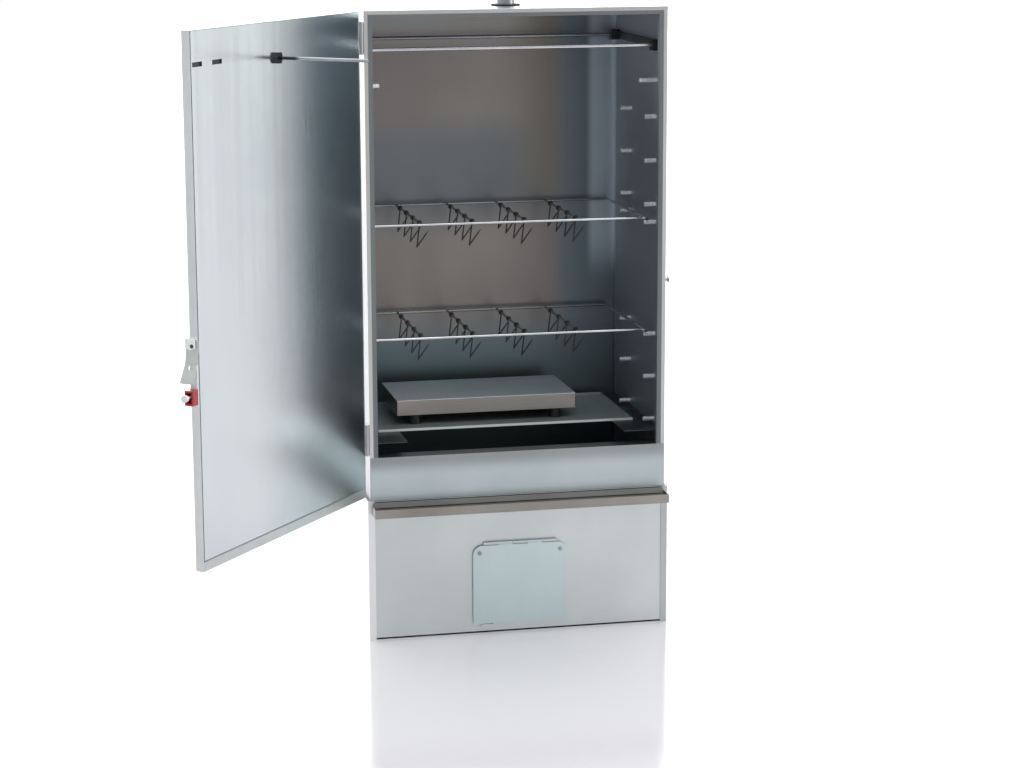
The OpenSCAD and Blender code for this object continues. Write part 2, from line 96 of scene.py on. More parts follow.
class Finish:
    """A Principled material with the nodes that its finish needs."""

    def __init__(self, name):
        self.material = bpy.data.materials.new(name)
        self.material.use_nodes = True
        self.tree = self.material.node_tree
        self.shader = self.tree.nodes["Principled BSDF"]
        self.coords = self.add("ShaderNodeTexCoord").outputs["Object"]

    def add(self, kind):
        return self.tree.nodes.new(kind)

    def put(self, value, socket):
        if isinstance(value, bpy.types.NodeSocket):
            self.tree.links.new(value, socket)
        else:
            socket.default_value = value

    def set(self, name, value):
        self.put(value, self.shader.inputs[name])

    def noise(self, scale, stretch=(1, 1, 1), detail=2.0, rough=0.5):
        """Noise on the object's own coordinates. A small stretch number draws it out."""
        mapping = self.add("ShaderNodeMapping")
        mapping.inputs["Scale"].default_value = stretch
        self.put(self.coords, mapping.inputs["Vector"])
        noise = self.add("ShaderNodeTexNoise")
        self.put(mapping.outputs[0], noise.inputs["Vector"])
        noise.inputs["Scale"].default_value = scale
        noise.inputs["Detail"].default_value = detail
        noise.inputs["Roughness"].default_value = rough
        return noise.outputs["Fac"]

    def cells(self, scale):
        """One random number for each crystal of a zinc coat."""
        cell = self.add("ShaderNodeTexVoronoi")
        self.put(self.coords, cell.inputs["Vector"])
        cell.inputs["Scale"].default_value = scale
        split = self.add("ShaderNodeSeparateColor")
        self.put(cell.outputs["Color"], split.inputs[0])
        return split.outputs[0]

    def grey(self, value):
        """A number as a colour."""
        node = self.add("ShaderNodeCombineColor")
        for socket in node.inputs[:3]:
            self.put(value, socket)
        return node.outputs[0]

    def span(self, value, start, end, low=0.0, high=1.0, smooth=True):
        return ramp(self.tree, value, start, end, low, high, smooth)

    def mix(self, amount, first, second, mode="MIX"):
        """A mix of two colours, which are the node's sockets 6, 7 and 2."""
        node = self.add("ShaderNodeMix")
        node.data_type = "RGBA"
        node.blend_type = mode
        self.put(amount, node.inputs[0])
        self.put(first, node.inputs[6])
        self.put(second, node.inputs[7])
        return node.outputs[2]

    def math(self, kind, first, second):
        node = self.add("ShaderNodeMath")
        node.operation = kind
        self.put(first, node.inputs[0])
        self.put(second, node.inputs[1])
        return node.outputs[0]

    def axis(self, letter):
        split = self.add("ShaderNodeSeparateXYZ")
        self.put(self.coords, split.inputs[0])
        return split.outputs[letter]

    def bump(self, height, distance, normal=None):
        node = self.add("ShaderNodeBump")
        node.inputs["Strength"].default_value = 1.0
        node.inputs["Distance"].default_value = distance
        self.put(height, node.inputs["Height"])
        if normal is not None:
            self.put(normal, node.inputs["Normal"])
        return node.outputs[0]


# how the noise is drawn out along a brushed sheet's grain
STRETCH = {"x": (0.012, 1, 1), "z": (1, 1, 0.012)}
SOOT = "2A2622"
SCUFFED = "9A9A9A"


def steel(
    name,
    colour,
    dull,
    rough,
    grain="z",
    streak=0.04,
    waves=0.04,
    marks=0.05,
    spangle=0.0,
    smoke=0.0,
    zones=(),
    metallic=1.0,
    streak_tone=0.14,
    slope=None,
    bands=None,
):
    """Sheet or wire steel, with a second, dull colour in its clouds and streaks.
    Streak and waves are the depths of its grain and its slow waves in millimetres,
    marks is the roughness that handling adds, and spangle and smoke are strengths.
    A slope tilts the sheet's shading a little, as a sheet that bows does, and bands
    is the colour of long upright bands.
    Each zone is (colour, other colour, extra roughness, limits), where a limit is
    (axis, from, to): the zone fades in between those two places along the axis."""
    f = Finish(name)
    fine = f.noise(1100, STRETCH[grain], detail=3.0, rough=0.6)
    broad = f.noise(160, STRETCH[grain])
    cloud = f.noise(5, detail=4.0, rough=0.55)
    spots = f.noise(75, detail=5.0, rough=0.7)
    tone = f.mix(f.span(cloud, 0.35, 0.68), srgb(dull), srgb(colour))
    if spangle:
        crystals = f.span(f.cells(120), 0.0, 1.0, 0.5 - spangle, 0.5 + spangle, smooth=False)
        tone = f.mix(0.6, tone, f.grey(crystals), "OVERLAY")
    rough_now = f.math("ADD", rough, f.math("MULTIPLY", fine, 0.08))
    rough_now = f.math("ADD", rough_now, f.span(spots, 0.45, 0.8, 0.0, marks))
    patches = f.span(f.noise(4.5, (1, 1, 0.6), detail=3.0), 0.38, 0.62)
    if bands:
        wide = f.span(f.noise(42, (1, 1, 0.004), detail=3.0, rough=0.6), 0.42, 0.66)
        tone = f.mix(wide, tone, srgb(bands))
    for first, second, haze, limits in zones:
        mask = None
        for letter, start, end in limits:
            if start < end:
                one = f.span(f.axis(letter), start, end)
            else:
                one = f.span(f.axis(letter), end, start, 1.0, 0.0)
            mask = one if mask is None else f.math("MULTIPLY", mask, one)
        tone = f.mix(mask, tone, f.mix(patches, srgb(first), srgb(second)))
        rough_now = f.math("ADD", rough_now, f.math("MULTIPLY", mask, haze))
    if smoke:
        soot = f.span(f.noise(14, detail=5.0, rough=0.6), 0.42, 0.75, 0.0, smoke)
        tone = f.mix(soot, tone, srgb(SOOT))
        rough_now = f.math("ADD", rough_now, f.math("MULTIPLY", soot, 0.25))
    tone = f.mix(f.span(fine, 0.3, 0.7, 0.0, streak_tone), tone, srgb(dull), "MULTIPLY")
    relief = f.bump(fine, streak * MM)
    relief = f.bump(broad, waves * MM, relief)
    if slope:
        along_x = f.math("MULTIPLY", f.axis("X"), slope[0])
        along_y = f.math("MULTIPLY", f.axis("Y"), slope[1])
        relief = f.bump(f.math("ADD", along_x, along_y), 1.0, relief)
    f.set("Base Color", tone)
    f.set("Metallic", metallic)
    f.set("Roughness", rough_now)
    f.set("Normal", relief)
    return f.material


def moulded(name, colour, worn, rough, coat=0.0, grain=900, depth=0.02):
    """Plastic, rubber or paint: fine grain, worn patches and scuffs.
    Depth is the depth of its grain in millimetres, and a third of its patches' depth."""
    f = Finish(name)
    pores = f.noise(grain, rough=0.6)
    patch = f.noise(45, detail=4.0, rough=0.6)
    scuff = f.noise(260, (1, 1, 0.2), detail=3.0, rough=0.7)
    tone = f.mix(f.span(patch, 0.35, 0.75), srgb(colour), srgb(worn))
    tone = f.mix(f.span(scuff, 0.66, 0.8, 0.0, 0.25), tone, srgb(SCUFFED))
    f.set("Base Color", tone)
    f.set("Roughness", f.math("ADD", rough, f.span(scuff, 0.4, 0.8, -0.05, 0.12)))
    f.set("Coat Weight", coat)
    f.set("Coat Roughness", 0.12)
    f.set("Normal", f.bump(pores, depth * MM, f.bump(patch, depth * MM * 3)))
    return f.material


def clear_glass():
    """Glass with a little haze from wiping."""
    f = Finish("glass")
    f.set("Base Color", (0.96, 0.98, 0.97, 1))
    f.set("Transmission Weight", 1.0)
    f.set("IOR", 1.45)
    f.set("Roughness", f.span(f.noise(120, detail=4.0, rough=0.7), 0.5, 0.8, 0.02, 0.09))
    return f.material


# Limits of the zones, in metres. One at the middle of a sheet's thickness parts the
# sheet's inner face from its outer one.
TINY = 0.0002


def inside(letter, middle):
    """Inwards of a sheet that stands across the axis, on either side of the chamber."""
    inward = 1 if middle < 0 else -1
    return (letter, middle - inward * TINY, middle + inward * TINY)


LINER_EDGE = min(v.co.x for v in nodes["door_liner"].data.vertices)
# the middles of the sheets, and the walls' front flanges with their back faces
WALL, ROOF, BACK_WALL = 0.1995, 0.8295, 0.2745
BASE_SIDE, BASE_FRONT, BASE_BACK = 0.2035, -0.0015, 0.2775
FLANGE, BEHIND_FLANGE = 0.0011, 0.0015
WALL_IN = [
    inside("X", WALL),
    inside("X", -WALL),
    ("Y", FLANGE, BEHIND_FLANGE),
    inside("Z", ROOF),
]
JAMB = [("Y", BEHIND_FLANGE, FLANGE), ("Z", 0.246, 0.249)]
JAMB_INNER = JAMB + [("X", 0.1955, 0.1945), ("X", -0.1955, -0.1945), ("Z", 0.8255, 0.8245)]
BACK_IN = [inside("Y", BACK_WALL)]
BASE_IN = [
    inside("X", BASE_SIDE),
    inside("X", -BASE_SIDE),
    inside("Y", BASE_FRONT),
    inside("Y", BASE_BACK),
]
BASE_ZONES = [("6A6A68", "7A7672", 0.1, BASE_IN)]
SMOOTH = {"streak": 0.01, "waves": 0.0}

# Every look by its name. The first four values of a steel are its name, its colour,
# its dull colour and its roughness.
looks = {
    "shell": steel(
        "shell",
        "BCBFC1",
        "B0B3B6",
        0.28,
        spangle=0.03,
        marks=0.02,
        zones=[
            # painted light and shade: the walls' inner faces are darker and bluer, and lighter high
            # up; the jambs' front faces are lighter, and darker towards the opening
            ("A6AEB6", "9EA6AE", 0.22, WALL_IN),
            ("C8CED6", "C0C6CE", 0.22, WALL_IN + [("Z", 0.62, 0.78)]),
            ("D2D2D0", "C8C8C6", 0.02, JAMB),
            ("787E80", "808688", 0.02, JAMB_INNER),
        ],
    ),
    "back": steel(
        "back",
        "BCBFC1",
        "B0B3B6",
        0.22,
        streak=0.012,
        waves=0.024,
        marks=0.0,
        streak_tone=0.03,
        zones=[
            # painted light and shade: the back wall's inner face is darker, with lighter and darker
            # bands and patches
            ("8C8884", "827E7B", 0.10, BACK_IN),
            ("989692", "9A9896", 0.0, BACK_IN + [("Z", 0.760, 0.785)]),
            ("727678", "767A7E", 0.0, BACK_IN + [("Z", 0.68, 0.62), ("Z", 0.49, 0.56)]),
            ("7E7A6E", "7C7870", 0.0, BACK_IN + [("X", 0.03, 0.11), ("Z", 0.50, 0.60)]),
            ("727E84", "707C82", 0.0, BACK_IN + [("X", 0.105, 0.137)]),
            ("B6C0C6", "AEB8C0", 0.0, BACK_IN + [("X", 0.157, 0.170), ("Z", 0.42, 0.50)]),
            ("66747A", "6A787C", 0.04, BACK_IN + [("Z", 0.40, 0.33)]),
        ],
    ),
    # painted light: a lighter copy of the base's steel, which paints the light on its front
    "base": steel(
        "base",
        "DEE2E2",
        "D2D8D8",
        0.36,
        grain="x",
        streak_tone=0.04,
        marks=0.02,
        zones=BASE_ZONES,
    ),
    "base_plain": steel(
        "base_plain",
        "C6CACC",
        "BABEC0",
        0.36,
        grain="x",
        streak_tone=0.04,
        marks=0.03,
        zones=BASE_ZONES,
    ),
    # painted light: a near-white copy of the base's steel, which paints the bright light on its left
    # side
    "base_side": steel(
        "base_side",
        "F6F8F6",
        "F0F2F2",
        0.36,
        grain="z",
        streak_tone=0.03,
        marks=0.02,
        zones=BASE_ZONES,
    ),
    "sill": steel(
        "sill",
        "C6D0D2",
        "B8C4C8",
        0.30,
        grain="x",
        streak_tone=0.04,
        marks=0.02,
        zones=[("989E9E", "A0A6A6", 0.0, [("Z", 0.222, 0.244)])],
    ),
    "flap": steel("flap", "D4E2E4", "C8D8DA", 0.32, grain="z", streak_tone=0.04, marks=0.02),
    "door_outside": steel(
        "door_outside",
        "D2D6D6",
        "CACECF",
        0.28,
        spangle=0.03,
    ),
    "liner": steel(
        "liner",
        "E6EEEF",
        "DCE4E7",
        0.15,
        streak=0.05,
        waves=0.016,
        marks=0.0,
        streak_tone=0.10,
        slope=(0.0298, 0.0389),
        bands="D9E0E1",
        zones=[
            # painted reflection: the first three zones paint what the liner reflects, greyer low down
            # at its free edge, bluer high up by the hinge and darker low down by the hinge
            ("D0D6D8", "D6DCDD", 0.0, [("Z", 0.66, 0.42), ("X", -0.28, -0.36)]),
            ("C8DAE2", "D0DCDF", 0.0, [("X", -0.345, -0.255), ("Z", 0.30, 0.42)]),
            ("B2BCC0", "B8C2C6", 0.0, [("X", -0.38, -0.27), ("Z", 0.36, 0.28)]),
            ("585C60", "505458", 0.1, [("X", LINER_EDGE + 0.0019, LINER_EDGE + 0.0013)]),
        ],
    ),
    "floor_steel": steel("floor_steel", "A0ACAC", "86928F", 0.34, grain="x", smoke=0.2, metallic=0.4),
    "apron": steel("apron", "949696", "868888", 0.42, grain="x", metallic=0.4),
    # painted highlight: a light steel that paints the highlight on the baffle plate's front rim
    "rim": steel("rim", "E6ECEC", "DADFE0", 0.4, grain="x", metallic=0.4),
    "ledge": steel("ledge", "5A6060", "484E4E", 0.34, grain="x", smoke=0.3),
    "tray": steel("tray", "AAA6A0", "96928C", 0.34, grain="x", smoke=0.1),
    "heater": steel(
        "heater",
        "A8A49E",
        "8E8A86",
        0.26,
        grain="x",
        smoke=0.05,
        # painted light: the housing's top face is lighter and cooler than its sides
        zones=[("E2ECF0", "D4E0E6", 0.24, [("Z", 0.2996, 0.3000)])],
    ),
    "wire": steel(
        "wire",
        "E2E4E6",
        "C2C4C6",
        0.14,
        grain="x",
        **SMOOTH,
        zones=[("A2A4A6", "8C8E8E", 0.1, [("Y", 0.066, 0.110)])],
    ),
    "pin": steel(
        "pin",
        "F2F4F4",
        "E6E8E8",
        0.22,
        grain="x",
        **SMOOTH,
        metallic=0.5,
        zones=[
            ("6C7074", "606468", 0.1, [("X", 0.1992, 0.1996)]),
            ("6C7074", "606468", 0.1, [("X", -0.1992, -0.1996)]),
        ],
    ),
    "hook": steel("hook", "5A5854", "3A3835", 0.30, grain="z", **SMOOTH, smoke=0.5),
    "fitting": steel("fitting", "B4B6B8", "94979A", 0.30, streak=0.02, waves=0.0),
    "bright": steel("bright", "D8D9DA", "BCBEC0", 0.12, **SMOOTH),
    "probe": steel(
        "probe",
        "B4B8BA",
        "9CA0A2",
        0.2,
        grain="x",
        **SMOOTH,
        zones=[("303436", "3A3E40", 0.15, [("X", -0.306, -0.314)])],
    ),
    "flap_hinge": steel("flap_hinge", "D6DEE0", "C8D0D2", 0.34, grain="x", **SMOOTH),
    "pipe": steel("pipe", "BDBFC0", "9FA2A4", 0.26, streak=0.03, waves=0.0),
    "element": steel(
        "element",
        "3C3E40",
        "2A2B2C",
        0.45,
        streak=0.03,
        waves=0.0,
        smoke=0.3,
        metallic=0.8,
    ),
    "lever": steel("lever", "D0D4D2", "BEC2C0", 0.40, **SMOOTH, metallic=0.6),
    "black": moulded("black", "101112", "1C1D1E", 0.45),
    "rubber": moulded("rubber", "0C0D0D", "191A1A", 0.7, grain=600, depth=0.04),
    "paint": moulded("paint", "232426", "2D2E30", 0.42, coat=0.15, grain=1500, depth=0.03),
    "ivory": moulded("ivory", "D9D5CA", "C8C3B6", 0.5),
    "white": moulded("white", "E6E9E8", "D4D8D7", 0.35, coat=0.2),
    "red": moulded("red", "A81420", "7E0E18", 0.3, coat=0.3),
    "needle": moulded("needle", "B01818", "901414", 0.4),
    "glass": clear_glass(),
}

# the part's nodes that have each look
NODE_LOOKS = {
    "shell": ["left_wall", "right_wall", "roof"],
    "back": ["back_wall"],
    "base": ["base_front", "base_bottom", "base_top", "tray_rails"],
    "base_plain": ["base_right", "base_back"],
    "base_side": ["base_left"],
    "sill": ["sill_panel"],
    "flap": ["flap"],
    "door_outside": ["door_skin"],
    "liner": ["door_liner"],
    "floor_steel": ["baffle_plate"],
    "ledge": ["floor_frame", "side_rails", "chip_pan"],
    "tray": ["drip_tray"],
    "heater": ["heater_housing"],
    "wire": ["top_rods", "upper_rack", "lower_rack"],
    "pin": ["rack_pins"],
    "hook": [f"{w}_hooks_{i}" for w in ("upper", "lower") for i in (1, 2, 3, 4)],
    "fitting": [
        "body_hinge_leaves",
        "door_hinge_leaves",
        "hinge_pins",
        "latch_keeper",
        "wall_rivets",
        "flap_screws",
    ],
    "flap_hinge": ["flap_leaf", "flap_pin"],
    "bright": ["thermo_case"],
    "probe": ["thermo_probe"],
    "pipe": ["chimney_pipe"],
    "element": ["heater_element", "chip_heater"],
    "lever": ["latch_lever"],
    "black": [
        "rod_end_blocks",
        "heater_feet",
        "power_inlet",
        "switch_frame",
        "thermostat_knob",
    ],
    "rubber": ["chimney_collar", "heater_lead"],
    "paint": ["control_box"],
    "ivory": ["thermostat_body"],
    "white": ["latch_plate", "latch_button"],
    "red": ["latch_block", "switch_rocker"],
}


def wear(obj, material):
    """Gives an object one material and no other."""
    obj.data.materials.clear()
    obj.data.materials.append(material)


for look, names in NODE_LOOKS.items():
    for node in names:
        wear(nodes[node], looks[look])


# ---------------------------------------------------------------- added pieces
# Places and sizes are in millimetres. On the door they are those of the closed door,
# which OPEN turns to where the door stands at rest.
door_joint = joints["door_hinge"]
hinge_at = Vector(door_joint["pos_m"])
OPEN = (
    Matrix.Translation(hinge_at)
    @ Matrix.Rotation(math.radians(-door_joint["range_deg"][1]), 4, "Z")
    @ Matrix.Translation(-hinge_at)
)
AS_DRAWN = Matrix.Identity(4)
IN_MILLIMETRES = Matrix.Scale(MM, 4)
LEFT, RIGHT, FRONT, BACK, UP = (-1, 0, 0), (1, 0, 0), (0, -1, 0), (0, 1, 0), (0, 0, 1)

WALL_X = 200  # outer face of a side wall
LEAF_X = 201.2  # outer face of a hinge leaf and of the latch's keeper
LEAF_RIVETS_Z = [low + up for low in (775, 252) for up in (7, 20, 33)]
LEVER_PIVOT_Z = 468.0
RACK_LEVELS = {"upper": 546, "lower": 394}


def facing(place, normal):
    """A matrix that takes local +Z to the normal, at a place in millimetres."""
    turn = Vector(normal).to_track_quat("Z", "Y").to_matrix().to_4x4()
    return Matrix.Translation(Vector(place) * MM) @ turn @ IN_MILLIMETRES


def piece(name, mesh, look, body, replaces=(), place=AS_DRAWN, smooth=True):
    """An object of the given look that rides a body, made from a finished bmesh."""
    data = bpy.data.meshes.new(name)
    mesh.transform(place)
    bmesh.ops.recalc_face_normals(mesh, faces=mesh.faces)
    mesh.to_mesh(data)
    mesh.free()
    obj = bpy.data.objects.new(name, data)
    bpy.context.scene.collection.objects.link(obj)
    wear(obj, looks[look])
    for polygon in data.polygons:
        polygon.use_smooth = smooth
    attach(obj, body)
    if replaces:
        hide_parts(*replaces)
    return obj


def circle(radius, steps):
    turns = [2 * math.pi * i / steps for i in range(steps)]
    return [(radius * math.cos(t), radius * math.sin(t)) for t in turns]


def skin(mesh, rings):
    """Faces between rings of vertices. A ring of one vertex is a pole."""
    for a, b in zip(rings, rings[1:]):
        steps = max(len(a), len(b))
        for i in range(steps):
            k = (i + 1) % steps
            if len(a) == 1:
                mesh.faces.new((a[0], b[i], b[k]))
            elif len(b) == 1:
                mesh.faces.new((a[i], a[k], b[0]))
            else:
                mesh.faces.new((a[i], a[k], b[k], b[i]))


def lathe(mesh, profile, matrix, steps=40):
    """Turns (radius, height) points about local Z."""
    rings = []
    for radius, height in profile:
        points = circle(radius, steps) if radius else [(0, 0)]
        rings.append([mesh.verts.new(matrix @ Vector((x, y, height))) for x, y in points])
    skin(mesh, rings)


def block(mesh, low, high, matrix):
    corners = [
        mesh.verts.new(matrix @ Vector((x, y, z)))
        for x in (low[0], high[0])
        for y in (low[1], high[1])
        for z in (low[2], high[2])
    ]
    for face in ((0, 1, 3, 2), (4, 6, 7, 5), (0, 4, 5, 1), (2, 3, 7, 6), (0, 2, 6, 4), (1, 5, 7, 3)):
        mesh.faces.new([corners[i] for i in face])


def plate(name, low, high, look, body, place=AS_DRAWN):
    """A flat-sided piece between two corners."""
    mesh = bmesh.new()
    block(mesh, low, high, place @ IN_MILLIMETRES)
    return piece(name, mesh, look, body, smooth=False)


def screw(mesh, radius, height, matrix, rings=16, steps=48):
    """A domed head with a cross recess, as one closed surface."""
    arm, reach, depth = 0.15 * radius, 0.58 * radius, 0.55 * height
    rows = [[mesh.verts.new(matrix @ Vector((0, 0, height - depth)))]]
    for r in range(1, rings + 1):
        rho = radius * r / rings
        row = []
        for x, y in circle(rho, steps):
            top = height * math.sqrt(max(0.0, 1 - 0.75 * (rho / radius) ** 2))
            if rho < reach and min(abs(x), abs(y)) < arm:
                top -= depth
            row.append(mesh.verts.new(matrix @ Vector((x, y, top))))
        rows.append(row)
    rows.append([mesh.verts.new(matrix @ Vector((x, y, 0))) for x, y in circle(radius, steps)])
    skin(mesh, rows)
    mesh.faces.new(list(reversed(rows[-1])))


def rivet(radius, height):
    """The domed profile of a rivet's head."""
    dome = [(0, 1), (0.45, 0.92), (0.8, 0.6), (1, 0.12), (1, 0)]
    return [(out * radius, up * height) for out, up in dome]


def bevel(obj, name, width, segments=2):
    edge = obj.modifiers.new(name, "BEVEL")
    edge.width = width * MM
    edge.segments = segments
    edge.limit_method = "ANGLE"
    return edge


def add_wall_rivets():
    """The rivets down the back edges of the side walls, in place of the plain ones."""
    count, lowest, highest, y = 7, 220, 799, 268
    mesh = bmesh.new()
    for side in (-1, 1):
        for i in range(count):
            z = lowest + i * (highest - lowest) / (count - 1)
            lathe(mesh, rivet(2.6, 1.1), facing((side * WALL_X, y, z), (side, 0, 0)))
    piece("wall_rivet_heads", mesh, "fitting", "cabinet", ["wall_rivets"])


def add_hinge_rivets():
    """The rivets of the hinges' leaves and of the latch's keeper."""
    cabinet_y, door_y = 15, -9.4
    mesh = bmesh.new()
    for z in LEAF_RIVETS_Z:
        lathe(mesh, rivet(2.0, 0.9), facing((-LEAF_X, cabinet_y, z), LEFT))
    for y in (11.5, 21.5):
        for z in (461, 475):
            lathe(mesh, rivet(1.5, 0.6), facing((LEAF_X, y, z), RIGHT))
    piece("hinge_rivets", mesh, "fitting", "cabinet")
    mesh = bmesh.new()
    for z in LEAF_RIVETS_Z:
        lathe(mesh, rivet(1.6, 0.7), facing((-LEAF_X, door_y, z), LEFT))
    piece("door_hinge_rivets", mesh, "fitting", "door", place=OPEN)


def add_screws():
    """The screws of the flap, the control box, the base's back panel and the inlet."""
    mesh = bmesh.new()
    for x in (-55, 55):
        screw(mesh, 3.0, 1.4, facing((x, -5.6, 112), FRONT))
    piece("flap_screw_heads", mesh, "fitting", "flap", ["flap_screws"])
    box_y, base_y, inlet_y = 318, 278, 320
    places = [(x, box_y, z) for x in (-68, 68) for z in (22, 168)]
    places += [(x, base_y, z) for x in (-190, -100, 100, 190) for z in (10, 178)]
    mesh = bmesh.new()
    for place in places:
        screw(mesh, 3.2, 1.5, facing(place, BACK))
    for x in (28, 62):
        screw(mesh, 1.8, 0.9, facing((x, inlet_y, 52), BACK), rings=12, steps=32)
    piece("back_screws", mesh, "fitting", "cabinet")


def scale_marks(mesh, matrix, count, every, lengths, edge, outward, half_width, levels):
    """Marks round a dial, with a longer one every few. They run from the radius edge
    outwards, or inwards where outward is -1, and fill the height between two levels."""
    sweep = 270
    for i in range(count):
        turn = Matrix.Rotation(math.radians(-sweep / 2 + i * sweep / (count - 1)), 4, "Z")
        length = lengths[0] if i % every == 0 else lengths[1]
        start, end = sorted((edge, edge + outward * length))
        low, high = (-half_width, start, levels[0]), (half_width, end, levels[1])
        block(mesh, low, high, matrix @ turn)


def add_thermostat_scale():
    """The printed scale round the thermostat's knob."""
    knob = facing((-38, 318, 118), BACK)
    mesh = bmesh.new()
    scale_marks(
        mesh,
        knob,
        count=19,
        every=3,
        lengths=(4.5, 2.5),
        edge=20.5,
        outward=1,
        half_width=0.35,
        levels=(0.01, 0.16),
    )
    piece("thermostat_scale", mesh, "white", "cabinet", smooth=False)


def add_dial():
    """The thermometer's face, scale, needle and glass, inside its case."""
    dial = OPEN @ facing((9, -21, 786), FRONT)
    mesh = bmesh.new()
    lathe(mesh, [(0, 0.8), (26.2, 0.8), (26.8, 0.4), (26.8, 0.05)], dial, 64)
    piece("dial_face", mesh, "ivory", "door")

    mesh = bmesh.new()
    scale_marks(
        mesh,
        dial,
        count=31,
        every=5,
        lengths=(4.2, 2.2),
        edge=23.6,
        outward=-1,
        half_width=0.3,
        levels=(0.8, 0.95),
    )
    piece("dial_scale", mesh, "black", "door", smooth=False)

    mesh = bmesh.new()
    lathe(mesh, [(0, 2.6), (2.2, 2.5), (2.8, 1.9), (2.8, 0.85)], dial, 32)
    turn = Matrix.Rotation(math.radians(118), 4, "Z")
    outline = [(-0.9, -6), (0.9, -6), (0.35, 20), (-0.35, 20)]
    for height in (1.4, 1.8):
        corners = [mesh.verts.new(dial @ turn @ Vector((x, y, height))) for x, y in outline]
        mesh.faces.new(corners)
    piece("dial_needle", mesh, "needle", "door", smooth=False)

    outside = [(0, 6.6), (10, 6.4), (20, 5.6), (26.6, 4.4)]
    inside = [(26.6, 3.6), (20, 4.8), (10, 5.6), (0, 5.8)]
    mesh = bmesh.new()
    lathe(mesh, outside + inside, dial, 64)
    piece("dial_glass", mesh, "glass", "door")


def add_lever():
    """The latch's lever, a thin strip that leans out to its finger end. It is a grid
    of rows down the strip, open at the pin's hole and at the keeper's slot."""
    bend_z, centre_y, face_x = 448.0, -7.5, 203.4
    half_width, finger_extra, lean_out, side_lean = 8.4, 1.0, 7.0, 4.5
    pin_hole, slot_half, slot_z = 3.4, 2.9, LEVER_PIVOT_Z - 25
    round_from, side_from = LEVER_PIVOT_Z + 5.4, LEVER_PIVOT_Z - 6
    end_rounding = (0.5, 0.2, 0.05, 0.0)

    # the rows' edges meet the slot's own edges
    rows_above, rows_in_slot, rows_below, columns = 26, 5, 14, 18
    step = slot_half * 2 / rows_in_slot
    top = slot_z + slot_half + rows_above * step
    end = slot_z - slot_half - rows_below * step
    rows = rows_above + rows_in_slot + rows_below

    def part_way(z, start):
        return min(1.0, max(0.0, (start - z) / (start - end)))

    mesh = bmesh.new()
    across = [-1 + 2 * c / columns for c in range(columns + 1)]
    grid = []
    for r in range(rows + 1):
        z = top + (end - top) * r / rows
        lean = part_way(z, bend_z)
        half = half_width + finger_extra * lean
        if z > round_from:
            half = half_width - 0.9 * (z - round_from)
        if rows - r < len(end_rounding):
            half -= end_rounding[rows - r]
        x = face_x + lean_out * (0.35 * lean + 0.65 * lean * lean * (3 - 2 * lean))
        bow = 0.5 * lean
        grid.append([mesh.verts.new((x - bow * u * u, centre_y + half * u, z)) for u in across])
    for r in range(rows):
        for c in range(columns):
            corners = (grid[r][c], grid[r][c + 1], grid[r + 1][c + 1], grid[r + 1][c])
            middle = sum((v.co for v in corners), Vector()) / 4
            y, z = middle.y - centre_y, middle.z - slot_z
            in_slot = math.hypot(y, z) < slot_half or (y > 0 and abs(z) < slot_half)
            in_hole = math.hypot(y, middle.z - LEVER_PIVOT_Z) < pin_hole
            if not in_slot and not in_hole:
                mesh.faces.new(corners)
    for row in grid:
        for v in row:
            v.co.y -= side_lean * part_way(v.co.z, side_from)
    loose = [v for v in mesh.verts if not v.link_faces]
    bmesh.ops.delete(mesh, geom=loose, context="VERTS")
    mesh.transform(IN_MILLIMETRES)
    lever = piece("lever_strip", mesh, "lever", "latch_lever", ["latch_lever"], OPEN)
    thick = lever.modifiers.new("thickness", "SOLIDIFY")
    thick.thickness = 1.6 * MM
    thick.offset = 0
    bevel(lever, "edge", 0.3)


def add_latch_cap():
    """The white cap over the lever's pin, with its dark screw."""
    low, high = (206.6, -14.6, 465.5), (208.4, -0.9, 477.5)
    cap = plate("latch_cap", low, high, "white", "door", OPEN)
    bevel(cap, "rounding", 1.0, segments=3)
    mesh = bmesh.new()
    lathe(mesh, rivet(2.4, 1.0), OPEN @ facing((high[0], -5.2, 468.6), RIGHT), 24)
    piece("latch_cap_screw", mesh, "paint", "door")


def add_slot_backing():
    """The stiffener inside the door, behind the liner's two slots."""
    low, high = (128, -5.0, 784), (197, -4.0, 798)
    plate("slot_backing", low, high, "ledge", "door", OPEN)


def bead(mesh, place, size):
    ball = facing(place, UP) @ Matrix.Diagonal((*size, 1))
    bmesh.ops.create_icosphere(mesh, subdivisions=2, radius=1.0, matrix=ball)


def add_rack_welds():
    """Weld beads where the racks' rods cross their bars."""
    rods, rod_step, shift, rod_radius, side_rod_x = 4, 71, -10, 1.5, 185.2
    for which, z in RACK_LEVELS.items():
        mesh = bmesh.new()
        for y in (58, 262):
            for rod in range(rods):
                x = (rod - (rods - 1) / 2) * rod_step + shift
                for side in (-1, 1):
                    bead(mesh, (x + side * rod_radius, y, z), (1.5, 2.1, 1.7))
            for side in (-1, 1):
                bead(mesh, (side * side_rod_x, y, z), (1.5, 2.3, 1.9))
        piece(f"{which}_rack_welds", mesh, "wire", f"{which}_rack")


def add_tray_apron():
    """The thin apron on the drip tray's front, below the sill."""
    low, high = (-197.5, -5.2, 181.4), (197.5, -4.65, 188.6)
    plate("tray_apron", low, high, "apron", "drip_tray")


def add_baffle_rim():
    """The folded front rim of the baffle plate, light in colour, which paints the highlight along its
    edge.
    """
    low, high = (-176, 75.4, 265.4), (176, 76.0, 268.6)
    plate("baffle_rim", low, high, "rim", "cabinet")


# radii in millimetres, and the pieces that have them
FOLDS = {
    0.5: ["heater_housing", "drip_tray", "baffle_plate", "latch_block", "control_box"],
    0.35: ["roof", "door_skin", "sill_panel", "base_front", "base_left", "base_right", "floor_frame"],
    1.0: ["rod_end_blocks", "thermostat_knob"],
}


